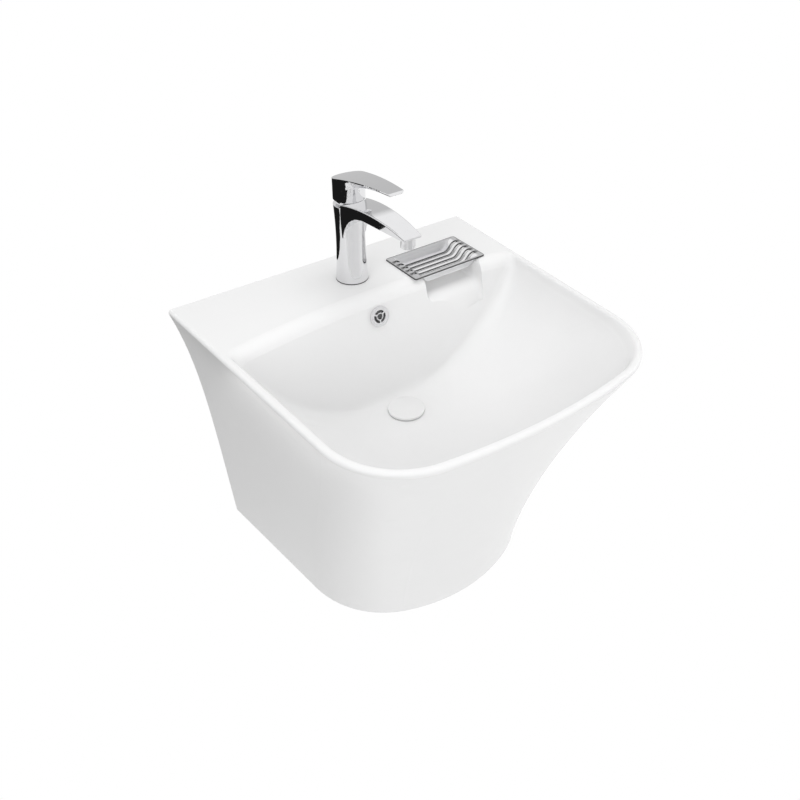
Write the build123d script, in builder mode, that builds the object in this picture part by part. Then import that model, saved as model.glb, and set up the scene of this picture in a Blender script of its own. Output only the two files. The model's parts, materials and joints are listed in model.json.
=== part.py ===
from build123d import *
import os
from math import atan2, cos, radians, sin, sqrt, tan

# Wall-hung wash basin with a one-piece half pedestal, lever tap, push waste and bottle trap.
# Millimetres. The wall is the plane Y = 0 and the basin stands out from it towards -Y.
# The origin is midway between the two wall fixings, X runs to the right and Z up.

# Clearances
seat_gap = 0.3          # between a moving piece and what it rests on
slide_gap = 0.15        # between pieces that are slipped together
running_gap = 0.05      # radial, where a shaft turns or slides in its bore
joint_gap = 0.02        # radial, where a screwed or pressed piece sits in its hole

# Basin: outline at the rim and at the foot
rim_width = 503
rim_depth = 475
rim_taper = 0.05        # half width lost for each millimetre forward
rim_bow = 28            # how far the front edge bows out
rim_corner = 110
foot_width = 404
foot_depth = 351
foot_taper = 0.10
foot_bow = 70
foot_corner = 135
basin_height = 405
side_run = 0.55         # share of the skirt's widening that is straight
side_flare = 5          # power of the curve by which the rest of it widens to the rim
front_flare = 1.5
wall = 12               # china thickness
back_wall = 14
deck_thickness = 14
rim_round = 5           # outer edge of the rim
skirt_shares = (0, 0.07, 0.16, 0.3, 0.5, 0.75, 1)

# Bowl
rim_land = 13           # from the outer edge of the rim to the bowl
bowl_depth = 157
deck_depth = 128        # from the wall to the bowl's back wall
back_lean = 33          # how far the bowl's back wall leans forward over its height
back_bow = 22           # how far its ends curve forward
deck_corner = 18
edge_round = 3          # inner edge of the rim
brow_round = 16         # edge between deck and bowl
heel_round = 14         # foot of the back wall
heel_fullness = 6
side_fullness = 1.6     # powers of the superellipses that draw the bowl's sections
front_fullness = 1.6
floor_half = 60         # flat floor round the drain
floor_front = 45
floor_corner = 30
corner_swell = 1.0      # how much rounder the bowl's front corners get below the rim
bowl_shares = (0.25, 0.45, 0.65, 0.82, 0.93, 1)

# Drain, overflow and soap niche
drain_from_heel = 26    # drain's axis in front of the foot of the bowl's back wall
drain_hole_radius = 22.5
drain_boss_radius = 36
drain_boss_depth = 24
overflow_drop = 32
overflow_radius = 11
duct_width = 22
duct_depth = 10
duct_wall = 10
niche_width = 95
niche_depth = 30
niche_behind = 35       # its back wall behind the dish's middle
niche_lip = 9           # rounded upper edge that the dish hangs over
niche_heel = 18
niche_round = 9
niche_fall_lead = 6     # from where its floor begins to fall to the deck's front edge
niche_fall_round = 22
niche_fall_angle = 70

# Wall fixings and the open back
fixing_drop = 95
fixing_spacing = 280
fixing_hole_radius = 8
fixing_boss_radius = 20
fixing_boss_depth = 10
back_opening_width = 300
back_opening_drop = 165
stud_radius = 5
stud_in_wall = 60
stud_wall_radius = 4.5  # of the screw that goes into the wall
bush_collar = 13
bush_flange = 2
washer_radius = 13
washer_thickness = 2.5
stud_nut_flats = 17
stud_nut_height = 8
stud_tip = 6            # stud left beyond its nut

# Tap: heights above the deck, and reach forward of its axis
tap_setback = 69
tap_hole_radius = 17.5
base_seal_thickness = 1.5
base_seal_width = 4.5
column_base_radius = 23.2
column_waist_radius = 20.4
column_waist_height = 55
column_top_radius = 22.2
column_top = 113
spout_reach = 143
spout_crest_reach = 75
spout_crest = 127.5
spout_tip = 120
spout_tip_thickness = 3.5
spout_root_radius = 19
spout_draft = 2.4       # degrees by which its sides lean out
spout_tip_half = 13.5
spout_edge = 1.5
arch_reach = 58
arch_top = 113.5
arch_middle_reach = 31
arch_middle = 103
arch_foot = 70
inlet_radius = 4.6
inlet_depth = 14
inlet_half_spacing = 8.5
inlet_forward = 5
fixing_stud_radius = 4
fixing_stud_back = 9
fixing_stud_depth = 14
clamp_radius = 24
clamp_slot_half = 14.5
clamp_seal_thickness = 3
clamp_plate_thickness = 3
fixing_nut_flats = 13
fixing_nut_height = 8
fixing_stud_tip = 10

# Tap cartridge and lever
cartridge_radius = 17.4
cartridge_bottom = 78
cartridge_shoulder = 104
cartridge_neck_radius = 12.5
cartridge_neck_depth = 6
cartridge_nut_radius = 18.8
pivot_height = 123      # the lever tilts about this height
pivot_pin_radius = 2
rotor_radius = 11
rotor_spigot_radius = 7
rotor_above_pivot = 4.5
rotor_slot_half = 6.6
stem_width = 8
stem_below_pivot = 6
stem_sweep = 7.6        # room below the pivot for the tilting stem
bonnet_radius = 19.6
bonnet_bore_radius = 13.5
bonnet_above_pivot = 9
bonnet_collar_radius = 21.4
bonnet_collar_height = 0.6
hub_radius = 22.2
hub_below_pivot = 1.5
hub_gap = 0.4           # round the bonnet, and round the hub in the tap body
socket_radius = 7
socket_bottom = 132
stem_top = 146
lever_reach = 109
lever_tip_half = 11.5
lever_tip_round = 3
lever_edge = 1.2
lever_back_top = 146
lever_middle_reach = 40
lever_middle_top = 160
lever_tip_top = 166
lever_tip_thickness = 4
lever_middle_bottom = 153
lever_root_reach = 22
lever_root_bottom = 143
lever_screw_radius = 2
lever_screw_height = 142
lever_screw_outer = 17
lever_plug_radius = 3

# Aerator
aerator_reach = 133
aerator_boss_radius = 9.4
aerator_boss_bottom = 110
aerator_thread_radius = 8
aerator_thread_height = 6
aerator_bottom = 103
aerator_bore_radius = 6.6
aerator_insert_height = 9
aerator_seal_thickness = 1.2
aerator_hole_radius = 0.9
aerator_hole_pitch = 1.5
aerator_hole_rows = 3

# Waste
flange_radius = 25.2
flange_thickness = 2.5
flange_gasket_thickness = 1.5
waste_radius = 20.8
waste_bore_radius = 17.5
waste_length = 62
waste_window_width = 14
waste_window_height = 12
lower_gasket_radius = 29
lower_gasket_thickness = 4
lock_nut_flats = 56
lock_nut_height = 9
spider_hub_radius = 9.5
spider_hub_height = 12
spider_drop = 30
spider_arm_width = 4
spider_arm_count = 3
click_radius = 7
click_collar = 8.5
click_collar_height = 2
click_length = 20
plug_stem_radius = 3
plug_stem_in_cap = 5
plug_stem_length = 26
cap_radius = 26.5
cap_edge = 3.5
cap_crown = 2
cap_round = 1
cap_boss_radius = 7
cap_boss_height = 4
cap_lift = 1.3          # underside of the cap above the flange
cap_seal_inner = 18.5
cap_seal_outer = 22.5
tail_radius = 16
tail_wall = 1.5
tail_in_waste = 10
tail_length = 66

# Overflow trim
trim_radius = 15
trim_gap = 0.35         # bedding of the flange on the slightly hollow wall
trim_flange = 2.5
trim_sleeve = 9
trim_hub_radius = 4.2
trim_opening_inner = 5.6
trim_opening_outer = 9.4
trim_spoke_width = 2.2
trim_spoke_count = 3
trim_turn = 30

# Bottle trap
tail_in_trap = 16
trap_nut_radius = 24
trap_nut_grip = 11
trap_nut_lip = 3
trap_seal_thickness = 3
trap_collar_radius = 20.5
trap_collar_height = 12
trap_shoulder = 14
trap_radius = 34
trap_wall = 3
trap_body_height = 64
trap_dip = 10           # dip tube below the body
trap_port_drop = 28     # outlet axis below the shoulder
trap_port_length = 20
cup_overlap = 13
cup_depth = 34
cup_seal_thickness = 2
outlet_in_wall = 40
outlet_spigot_radius = 15.5
wall_flange_radius = 34
wall_flange_height = 12
wall_flange_edge = 3

# Soap dish
dish_length = 128
dish_width = 75
dish_inset = 120.5      # from its middle to the basin's right side
dish_from_edge = 35     # from its middle to the deck's front edge
dish_sheet = 1.5
dish_depth = 13
dish_end_flange = 8
dish_ramp = 22
dish_side_flange = 4
dish_floor_half = 30
dish_slot_width = 5
dish_slot_count = 5
dish_slot_margin = 6    # from each end of the dish to its slots
dish_corner = 3

drain_setback = deck_depth + back_lean + heel_round + drain_from_heel
dish_offset = rim_width / 2 - dish_inset
dish_setback = deck_depth - dish_from_edge
niche_back = dish_setback - niche_behind
niche_fall_start = deck_depth - niche_fall_lead
rim_z = fixing_drop
foot_z = rim_z - basin_height
floor_z = rim_z - bowl_depth
seat_z = floor_z - drain_boss_depth
opening_z = rim_z - back_opening_drop
tap_z = rim_z + base_seal_thickness
pivot_z = rim_z + pivot_height


def outline(height, half, taper, front, front_bow, front_corner, back, back_bow=0, back_corner=0):
    """Plan outline: bowed front, tapering sides and a straight or bowed back, with rounded corners.
    Distances run forward from the wall, and half is the half width at the wall."""
    front_end = front - front_bow
    back_end = back + back_bow
    front_half = half - taper * front_end
    back_half = half - taper * back_end
    with BuildSketch(Plane.XY.offset(height)) as section:
        with BuildLine():
            ThreePointArc((-front_half, -front_end), (0, -front), (front_half, -front_end))
            Line((front_half, -front_end), (back_half, -back_end))
            if back_bow:
                ThreePointArc((back_half, -back_end), (0, -back), (-back_half, -back_end))
            else:
                Line((back_half, -back_end), (-back_half, -back_end))
            Line((-back_half, -back_end), (-front_half, -front_end))
        make_face()
        fillet(section.vertices().sort_by(Axis.Y)[:2], front_corner)
        if back_corner:
            fillet(section.vertices().sort_by(Axis.Y)[-2:], back_corner)
    return section.sketch


def skirt_section(share, inset, back):
    """Outline of the skirt at a share of the height below the rim, drawn in by an inset."""
    rise = 1 - share
    spread = side_run * rise + (1 - side_run) * rise ** side_flare
    half = foot_width / 2 + (rim_width - foot_width) / 2 * spread
    front = foot_depth + (rim_depth - foot_depth) * rise ** front_flare
    taper = rim_taper + (foot_taper - rim_taper) * share
    bow = rim_bow + (foot_bow - rim_bow) * share
    corner = rim_corner + (foot_corner - rim_corner) * share
    height = rim_z - share * basin_height
    return outline(height, half - inset, taper, front - inset, bow, corner - inset, back)


def rolled(drop, radius):
    """How far a quarter-round edge of this radius opens at a drop below the rim."""
    turn = max(0, 1 - drop / radius)
    return radius * (1 - sqrt(1 - turn ** 2))


def bowl_section(share, grow):
    """Outline of the bowl at a share of its depth; grow widens it to the outside of its china."""
    drop = share * bowl_depth
    side_fall = (1 - share ** side_fullness) ** (1 / side_fullness)
    front_fall = (1 - share ** front_fullness) ** (1 / front_fullness)
    heel_fall = (1 - share ** heel_fullness) ** (1 / heel_fullness)
    rim_half = rim_width / 2 - rim_land
    floor_end = drain_setback + floor_front
    half = floor_half + (rim_half - floor_half) * side_fall
    front = floor_end + (rim_depth - rim_land - floor_end) * front_fall
    back = deck_depth + back_lean * share + heel_round * (1 - heel_fall)
    spread = (half / rim_half) ** 2
    swell = 1 + corner_swell * 4 * share * (1 - share)
    front_corner = floor_corner + (rim_corner - rim_land - floor_corner) * side_fall * swell
    back_corner = deck_corner + (floor_corner - deck_corner) * share
    edge = rolled(drop, edge_round)
    height = rim_z - drop - grow * share
    return outline(
        height,
        half + edge + grow,
        rim_taper * (1 - share),
        front + edge + grow,
        rim_bow * spread,
        front_corner + edge + grow,
        back - rolled(drop, brow_round) - grow,
        back_bow * spread,
        back_corner + grow,
    )


edge_drops = (0, edge_round / 3, edge_round, brow_round / 2, brow_round)
edge_shares = [drop / bowl_depth for drop in edge_drops]
inner_shares = edge_shares[-1:] + list(bowl_shares)
outer_shares = [0] + list(bowl_shares)

with BuildPart() as bowl_inside:
    loft([bowl_section(share, 0) for share in edge_shares])
    loft([bowl_section(share, 0) for share in inner_shares])

with BuildPart() as bowl_outside:
    loft([bowl_section(share, wall) for share in outer_shares])

with BuildPart() as skirt:
    loft([skirt_section(share, 0, -back_wall) for share in skirt_shares])
    split(bisect_by=Plane.XZ)
    rim_edges = skirt.faces().sort_by(Axis.Z)[-1].edges().sort_by(Axis.Y)[:-1]
    fillet(rim_edges, rim_round)


def upright(setback):
    """Plane of a turned piece's half section: X is the radius and Y the height."""
    return Plane(origin=(0, -setback, 0), x_dir=(1, 0, 0), z_dir=(0, -1, 0))


def level(setback, height):
    """Horizontal plane at a height, with its middle a setback in front of the wall."""
    return Plane(origin=(0, -setback, height))


def turned(line, *profile):
    """Piece of revolution about a plane's Y axis, from (radius, distance) points."""
    with BuildPart() as piece:
        with BuildSketch(line):
            with BuildLine():
                Polyline(*profile, close=True)
            make_face()
        revolve(axis=Axis(line.origin, line.y_dir))
    return piece


def ring(line, outer, inner, low, high):
    """Plain ring about a plane's Y axis."""
    return turned(line, (inner, low), (outer, low), (outer, high), (inner, high))


def hex_nut(plane, flats, bore, height):
    """Hexagon nut standing on a plane."""
    with BuildPart() as nut:
        with BuildSketch(plane):
            RegularPolygon(flats / 2, 6, major_radius=False)
            Circle(bore, mode=Mode.SUBTRACT)
        extrude(amount=height)
    return nut


# Basin body
back_slope = atan2(back_lean, bowl_depth)
overflow_setback = deck_depth + back_lean * overflow_drop / bowl_depth
overflow_plane = Plane(
    origin=(0, -overflow_setback, rim_z - overflow_drop),
    x_dir=(1, 0, 0),
    z_dir=(0, -cos(back_slope), sin(back_slope)),
)
duct_front = deck_depth - duct_wall
duct_back = duct_front - duct_depth
rib_back = duct_back - duct_wall
duct_top = rim_z - overflow_drop + overflow_radius
duct_floor = seat_z + wall / 2
duct_roof = duct_floor + duct_depth
duct_middle = (duct_floor + duct_roof) / 2
niche_end = deck_depth + back_bow

with BuildPart() as hollow:
    hollow_shares = [deck_thickness / basin_height] + list(skirt_shares[1:])
    loft([skirt_section(share, wall, back_wall) for share in hollow_shares])
    add(bowl_outside.part, mode=Mode.SUBTRACT)
    # Boss round the drain hole
    with BuildSketch(level(drain_setback, seat_z)):
        Circle(drain_boss_radius)
    extrude(amount=bowl_depth, mode=Mode.SUBTRACT)
    # Rib behind the bowl that holds the overflow duct
    with BuildSketch(Plane.YZ):
        with BuildLine():
            Polyline(
                (-rib_back, rim_z),
                (-drain_setback, rim_z),
                (-drain_setback, seat_z),
                (-rib_back - back_lean, seat_z),
                close=True,
            )
        make_face()
    extrude(amount=duct_width / 2 + duct_wall, both=True, mode=Mode.SUBTRACT)
    # China round the soap niche
    with BuildSketch(Plane.XY.offset(rim_z)):
        with Locations((dish_offset, -(niche_back + niche_end) / 2)):
            Rectangle(niche_width + 2 * wall, niche_end - niche_back + 2 * wall)
    extrude(amount=-niche_depth - wall, mode=Mode.SUBTRACT)
    # Bosses at the wall fixings
    with BuildSketch(Plane.XZ):
        with GridLocations(fixing_spacing, 0, 2, 1):
            Circle(fixing_boss_radius)
    extrude(amount=back_wall + fixing_boss_depth, mode=Mode.SUBTRACT)

niche_floor = rim_z - niche_depth
niche_reach = niche_depth + 2 * niche_fall_round

# Niche: its front view and its side view, both flared at the top, cut each other
with BuildPart() as niche:
    with BuildSketch(Plane.XZ):
        with Locations((dish_offset, rim_z - niche_reach / 2)):
            Rectangle(niche_width, niche_reach)
        for side in (-1, 1):
            edge = dish_offset + side * niche_width / 2
            with Locations((edge + side * niche_lip / 2, rim_z - niche_lip / 2)):
                Rectangle(niche_lip, niche_lip)
            with Locations((edge + side * niche_lip, rim_z - niche_lip)):
                Circle(niche_lip, mode=Mode.SUBTRACT)
        with Locations((dish_offset, rim_z + niche_lip / 2)):
            Rectangle(niche_width + 2 * niche_lip, niche_lip)
    extrude(amount=niche_end + niche_fall_round)
    with BuildSketch(Plane.YZ):
        with BuildLine():
            fall = JernArc((-niche_fall_start, niche_floor), (-1, 0), niche_fall_round, niche_fall_angle)
            run_out = Line(fall @ 1, fall @ 1 + (fall % 1) * niche_fall_round)
            Polyline(
                run_out @ 1,
                (-niche_end - niche_fall_round, rim_z + niche_lip),
                (niche_lip - niche_back, rim_z + niche_lip),
                (niche_lip - niche_back, rim_z),
            )
            lip_middle = (niche_lip - niche_back, rim_z - niche_lip)
            CenterArc(lip_middle, niche_lip, start_angle=90, arc_size=90)
            Line((-niche_back, rim_z - niche_lip), (-niche_back, niche_floor + niche_heel))
            heel_middle = (-niche_back - niche_heel, niche_floor + niche_heel)
            CenterArc(heel_middle, niche_heel, start_angle=0, arc_size=-90)
            Line((-niche_back - niche_heel, niche_floor), (-niche_fall_start, niche_floor))
        make_face()
    extrude(amount=rim_width, mode=Mode.INTERSECT)
    for side in (-1, 1):
        wall_x = dish_offset + side * niche_width / 2
        foot_edges = niche.edges().filter_by_position(Axis.X, wall_x - seat_gap, wall_x + seat_gap)
        foot_edges = foot_edges.filter_by_position(Axis.Z, rim_z - rim_width, rim_z - niche_lip - seat_gap)
        fillet(foot_edges.sort_by(Axis.Y)[1:], niche_round)

with BuildPart() as basin_body:
    add(skirt.part)
    add(niche.part, mode=Mode.SUBTRACT)
    add(bowl_inside.part, mode=Mode.SUBTRACT)
    add(hollow.part, mode=Mode.SUBTRACT)
    # Open back below the fixings
    with BuildSketch(Plane.XZ):
        with Locations((0, (opening_z + foot_z) / 2)):
            Rectangle(back_opening_width, opening_z - foot_z)
    extrude(amount=back_wall, mode=Mode.SUBTRACT)
    # Wall fixing holes
    with BuildSketch(Plane.XZ):
        with GridLocations(fixing_spacing, 0, 2, 1):
            Circle(fixing_hole_radius)
    extrude(amount=back_wall + fixing_boss_depth, mode=Mode.SUBTRACT)
    # Tap hole
    with BuildSketch(level(tap_setback, rim_z)):
        Circle(tap_hole_radius)
    extrude(amount=-deck_thickness, mode=Mode.SUBTRACT)
    # Drain hole and the recess of its flange
    with BuildSketch(level(drain_setback, seat_z)):
        Circle(drain_hole_radius)
    extrude(amount=bowl_depth, mode=Mode.SUBTRACT)
    with BuildSketch(level(drain_setback, floor_z - flange_thickness - flange_gasket_thickness)):
        Circle(flange_radius + 2 * seat_gap)
    extrude(amount=bowl_depth, mode=Mode.SUBTRACT)
    # Overflow hole and duct
    with BuildSketch(overflow_plane.offset(trim_flange)):
        Circle(overflow_radius)
    extrude(amount=-trim_flange - duct_wall - duct_depth, mode=Mode.SUBTRACT)
    with BuildSketch(Plane.YZ):
        with BuildLine():
            Polyline(
                (-duct_back, duct_top),
                (-duct_front, duct_top),
                (-duct_front - back_lean, duct_roof),
                (-drain_setback, duct_roof),
                (-drain_setback, duct_floor),
                (-duct_back - back_lean, duct_floor),
                close=True,
            )
        make_face()
    extrude(amount=duct_width / 2, both=True, mode=Mode.SUBTRACT)

# Wall fixings: stud, plastic bush, washer and nut on each side
boss_face = back_wall + fixing_boss_depth
nut_seat = boss_face + bush_flange + washer_thickness

with BuildPart() as wall_studs:
    with BuildSketch(Plane.XZ.offset(-stud_in_wall)):
        with GridLocations(fixing_spacing, 0, 2, 1):
            Circle(stud_wall_radius)
    extrude(amount=stud_in_wall)
    with BuildSketch(Plane.XZ):
        with GridLocations(fixing_spacing, 0, 2, 1):
            Circle(stud_radius)
    extrude(amount=nut_seat + stud_nut_height + stud_tip)
    ends = wall_studs.edges().group_by(Axis.Y)
    chamfer(ends[0] + ends[-1], stud_radius / 5)

with BuildPart() as stud_bushes:
    with BuildSketch(Plane.XZ):
        with GridLocations(fixing_spacing, 0, 2, 1):
            Circle(fixing_hole_radius - slide_gap)
    extrude(amount=boss_face)
    with BuildSketch(Plane.XZ.offset(boss_face)):
        with GridLocations(fixing_spacing, 0, 2, 1):
            Circle(bush_collar)
    extrude(amount=bush_flange)
    with BuildSketch(Plane.XZ):
        with GridLocations(fixing_spacing, 0, 2, 1):
            Circle(stud_radius + slide_gap)
    extrude(amount=boss_face + bush_flange, mode=Mode.SUBTRACT)

with BuildPart() as stud_washers:
    with BuildSketch(Plane.XZ.offset(boss_face + bush_flange)):
        with GridLocations(fixing_spacing, 0, 2, 1):
            Circle(washer_radius)
            Circle(stud_radius + slide_gap, mode=Mode.SUBTRACT)
    extrude(amount=washer_thickness)

with BuildPart() as stud_nuts:
    with BuildSketch(Plane.XZ.offset(nut_seat)):
        with GridLocations(fixing_spacing, 0, 2, 1):
            RegularPolygon(stud_nut_flats / 2, 6, major_radius=False)
            Circle(stud_radius + joint_gap, mode=Mode.SUBTRACT)
    extrude(amount=stud_nut_height)

# Tap body: turned column and a spout that is cut by its side view and by its plan
side_view = Plane(origin=(0, -tap_setback, rim_z), x_dir=(0, -1, 0), z_dir=(-1, 0, 0))
plan_view = Plane(origin=(0, -tap_setback, rim_z), x_dir=(0, -1, 0), z_dir=(0, 0, 1))
spout_back = column_waist_radius / 2
spout_low_tip = spout_tip_half - (spout_tip - arch_foot) * tan(radians(spout_draft))

with BuildPart() as spout:
    with BuildSketch(side_view):
        with BuildLine():
            ThreePointArc(
                (-spout_back, column_top),
                (spout_crest_reach, spout_crest),
                (spout_reach, spout_tip),
            )
            Line((spout_reach, spout_tip), (spout_reach, spout_tip - spout_tip_thickness))
            Line((spout_reach, spout_tip - spout_tip_thickness), (arch_reach, arch_top))
            ThreePointArc(
                (arch_reach, arch_top),
                (arch_middle_reach, arch_middle),
                (spout_back, arch_foot),
            )
            Polyline((spout_back, arch_foot), (-spout_back, arch_foot), (-spout_back, column_top))
        make_face()
    extrude(amount=column_base_radius, both=True)
    with BuildSketch(plan_view.offset(arch_foot)):
        Circle(spout_root_radius)
        with Locations((spout_reach - spout_edge, 0)):
            Rectangle(2 * spout_edge, 2 * spout_low_tip)
        make_hull()
    extrude(amount=spout_crest, taper=-spout_draft, mode=Mode.INTERSECT)
    top_edges = spout.faces().sort_by(Axis.Z)[-1].edges()
    fillet(top_edges.sort_by(Axis.Y)[:3], spout_edge)

tap_line = upright(tap_setback)

with BuildPart() as tap_body:
    with BuildSketch(tap_line):
        with BuildLine():
            Polyline(
                (column_top_radius, rim_z + column_top),
                (0, rim_z + column_top),
                (0, tap_z),
                (column_base_radius, tap_z),
            )
            ThreePointArc(
                (column_base_radius, tap_z),
                (column_waist_radius, rim_z + column_waist_height),
                (column_top_radius, rim_z + column_top),
            )
        make_face()
    revolve(axis=Axis(tap_line.origin, tap_line.y_dir))
    add(spout.part)
    # Boss of the aerator
    with BuildSketch(level(tap_setback + aerator_reach, rim_z + aerator_boss_bottom)):
        Circle(aerator_boss_radius)
    extrude(amount=spout_tip - spout_tip_thickness / 2 - aerator_boss_bottom)
    # Seat of the lever's hub
    with BuildSketch(level(tap_setback, rim_z + column_top)):
        Circle(hub_radius + hub_gap)
    extrude(amount=spout_crest - column_top, mode=Mode.SUBTRACT)
    # Bores of the cartridge and its nut
    with BuildSketch(level(tap_setback, rim_z + cartridge_bottom)):
        Circle(cartridge_radius + slide_gap)
    extrude(amount=column_top, mode=Mode.SUBTRACT)
    with BuildSketch(level(tap_setback, rim_z + cartridge_shoulder)):
        Circle(cartridge_nut_radius + joint_gap)
    extrude(amount=column_top, mode=Mode.SUBTRACT)
    # Aerator bore, hose inlets and fixing hole
    with BuildSketch(level(tap_setback + aerator_reach, rim_z + aerator_boss_bottom)):
        Circle(aerator_thread_radius + joint_gap)
    extrude(amount=aerator_thread_height + aerator_seal_thickness, mode=Mode.SUBTRACT)
    with BuildSketch(level(tap_setback + inlet_forward, tap_z)):
        with GridLocations(2 * inlet_half_spacing, 0, 2, 1):
            Circle(inlet_radius)
    extrude(amount=inlet_depth, mode=Mode.SUBTRACT)
    with BuildSketch(level(tap_setback - fixing_stud_back, tap_z)):
        Circle(fixing_stud_radius + joint_gap)
    extrude(amount=fixing_stud_depth, mode=Mode.SUBTRACT)

tap_base_seal = ring(
    tap_line, column_base_radius, column_base_radius - base_seal_width, rim_z, tap_z
)

# Tap fixing under the deck
deck_under = rim_z - deck_thickness
plate_top = deck_under - clamp_seal_thickness
plate_under = plate_top - clamp_plate_thickness
stud_low = plate_under - fixing_nut_height - fixing_stud_tip
stud_setback = tap_setback - fixing_stud_back


def horseshoe(top, thickness, bore):
    """Round plate with a slot open to the front, bored for the fixing stud."""
    with BuildPart() as plate:
        with BuildSketch(level(tap_setback, top)) as shape:
            Circle(clamp_radius)
            with Locations((0, -clamp_radius)):
                Rectangle(2 * clamp_slot_half, 2 * clamp_radius, mode=Mode.SUBTRACT)
            fillet(shape.vertices().group_by(Axis.Y)[0], clamp_plate_thickness / 2)
            with Locations((0, fixing_stud_back)):
                Circle(bore, mode=Mode.SUBTRACT)
        extrude(amount=-thickness)
    return plate


tap_clamp_seal = horseshoe(deck_under, clamp_seal_thickness, fixing_stud_radius + slide_gap)
tap_clamp_plate = horseshoe(plate_top, clamp_plate_thickness, fixing_stud_radius + slide_gap)
tap_fixing_nut = hex_nut(
    level(stud_setback, plate_under - fixing_nut_height),
    fixing_nut_flats,
    fixing_stud_radius + joint_gap,
    fixing_nut_height,
)

with BuildPart() as tap_fixing_stud:
    with BuildSketch(level(stud_setback, stud_low)):
        Circle(fixing_stud_radius)
    extrude(amount=tap_z + fixing_stud_depth - stud_low)
    chamfer(tap_fixing_stud.edges().filter_by(GeomType.CIRCLE), fixing_stud_radius / 5)

# Cartridge
shoulder_z = rim_z + cartridge_shoulder
top_z = rim_z + column_top
spigot_bore = rotor_spigot_radius + running_gap

cartridge_body = turned(
    tap_line,
    (0, rim_z + cartridge_bottom),
    (cartridge_radius, rim_z + cartridge_bottom),
    (cartridge_radius, shoulder_z),
    (cartridge_neck_radius, shoulder_z),
    (cartridge_neck_radius, top_z),
    (spigot_bore, top_z),
    (spigot_bore, top_z - cartridge_neck_depth),
    (0, top_z - cartridge_neck_depth),
)
cartridge_nut = ring(
    tap_line, cartridge_nut_radius, cartridge_neck_radius + slide_gap, shoulder_z, top_z
)

pin_plane = Plane(origin=(0, -tap_setback, pivot_z), x_dir=(0, 1, 0), z_dir=(1, 0, 0))
rotor_low = top_z + seat_gap

with BuildPart() as cartridge_rotor:
    add(turned(
        tap_line,
        (0, top_z - cartridge_neck_depth + seat_gap),
        (rotor_spigot_radius, top_z - cartridge_neck_depth + seat_gap),
        (rotor_spigot_radius, rotor_low),
        (rotor_radius, rotor_low),
        (rotor_radius, pivot_z + rotor_above_pivot),
        (0, pivot_z + rotor_above_pivot),
    ).part)
    with BuildSketch(level(tap_setback, pivot_z - stem_sweep)):
        Rectangle(stem_width + 2 * seat_gap, 2 * rotor_slot_half)
    extrude(amount=stem_sweep + rotor_above_pivot, mode=Mode.SUBTRACT)
    with BuildSketch(pin_plane):
        Circle(pivot_pin_radius + joint_gap)
    extrude(amount=rotor_radius, both=True, mode=Mode.SUBTRACT)

pin_half = sqrt(rotor_radius ** 2 - pivot_pin_radius ** 2) - seat_gap

with BuildPart() as lever_pivot_pin:
    with BuildSketch(pin_plane):
        Circle(pivot_pin_radius)
    extrude(amount=pin_half, both=True)

with BuildPart() as lever_stem:
    with BuildSketch(level(tap_setback, pivot_z - stem_below_pivot)):
        Rectangle(stem_width, stem_width)
    extrude(amount=rim_z + stem_top - pivot_z + stem_below_pivot)
    with BuildSketch(pin_plane):
        Circle(pivot_pin_radius + running_gap)
    extrude(amount=stem_width, both=True, mode=Mode.SUBTRACT)

# Domed ring: a zone of a sphere about the lever's pivot
with BuildPart() as bonnet_ring:
    with Locations((0, -tap_setback, pivot_z)):
        Sphere(bonnet_radius)
    split(bisect_by=Plane.XY.offset(top_z), keep=Keep.TOP)
    split(bisect_by=Plane.XY.offset(pivot_z + bonnet_above_pivot), keep=Keep.BOTTOM)
    with BuildSketch(level(tap_setback, top_z)):
        Circle(bonnet_collar_radius)
    extrude(amount=bonnet_collar_height)
    with BuildSketch(level(tap_setback, top_z)):
        Circle(bonnet_bore_radius)
    extrude(amount=2 * bonnet_radius, mode=Mode.SUBTRACT)

# Lever: plate cut by its side view and its plan, on a hub that is hollowed over the dome
with BuildPart() as lever_plate:
    with BuildSketch(side_view):
        with BuildLine():
            ThreePointArc(
                (-hub_radius, lever_back_top),
                (lever_middle_reach, lever_middle_top),
                (lever_reach, lever_tip_top),
            )
            Line((lever_reach, lever_tip_top), (lever_reach, lever_tip_top - lever_tip_thickness))
            ThreePointArc(
                (lever_reach, lever_tip_top - lever_tip_thickness),
                (lever_middle_reach + lever_root_reach, (lever_middle_bottom + lever_tip_top) / 2
                 - lever_tip_thickness / 2),
                (lever_root_reach, lever_root_bottom),
            )
            Polyline(
                (lever_root_reach, lever_root_bottom),
                (-hub_radius, lever_root_bottom),
                (-hub_radius, lever_back_top),
            )
        make_face()
    extrude(amount=hub_radius, both=True)
    with BuildSketch(plan_view) as plan:
        Circle(hub_radius)
        with Locations((lever_reach - lever_tip_round, 0)):
            Rectangle(2 * lever_tip_round, 2 * lever_tip_half)
        make_hull()
    extrude(amount=lever_tip_top + lever_reach, mode=Mode.INTERSECT)
    fillet(lever_plate.faces().sort_by(Axis.Z)[-1].edges(), lever_edge)

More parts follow.
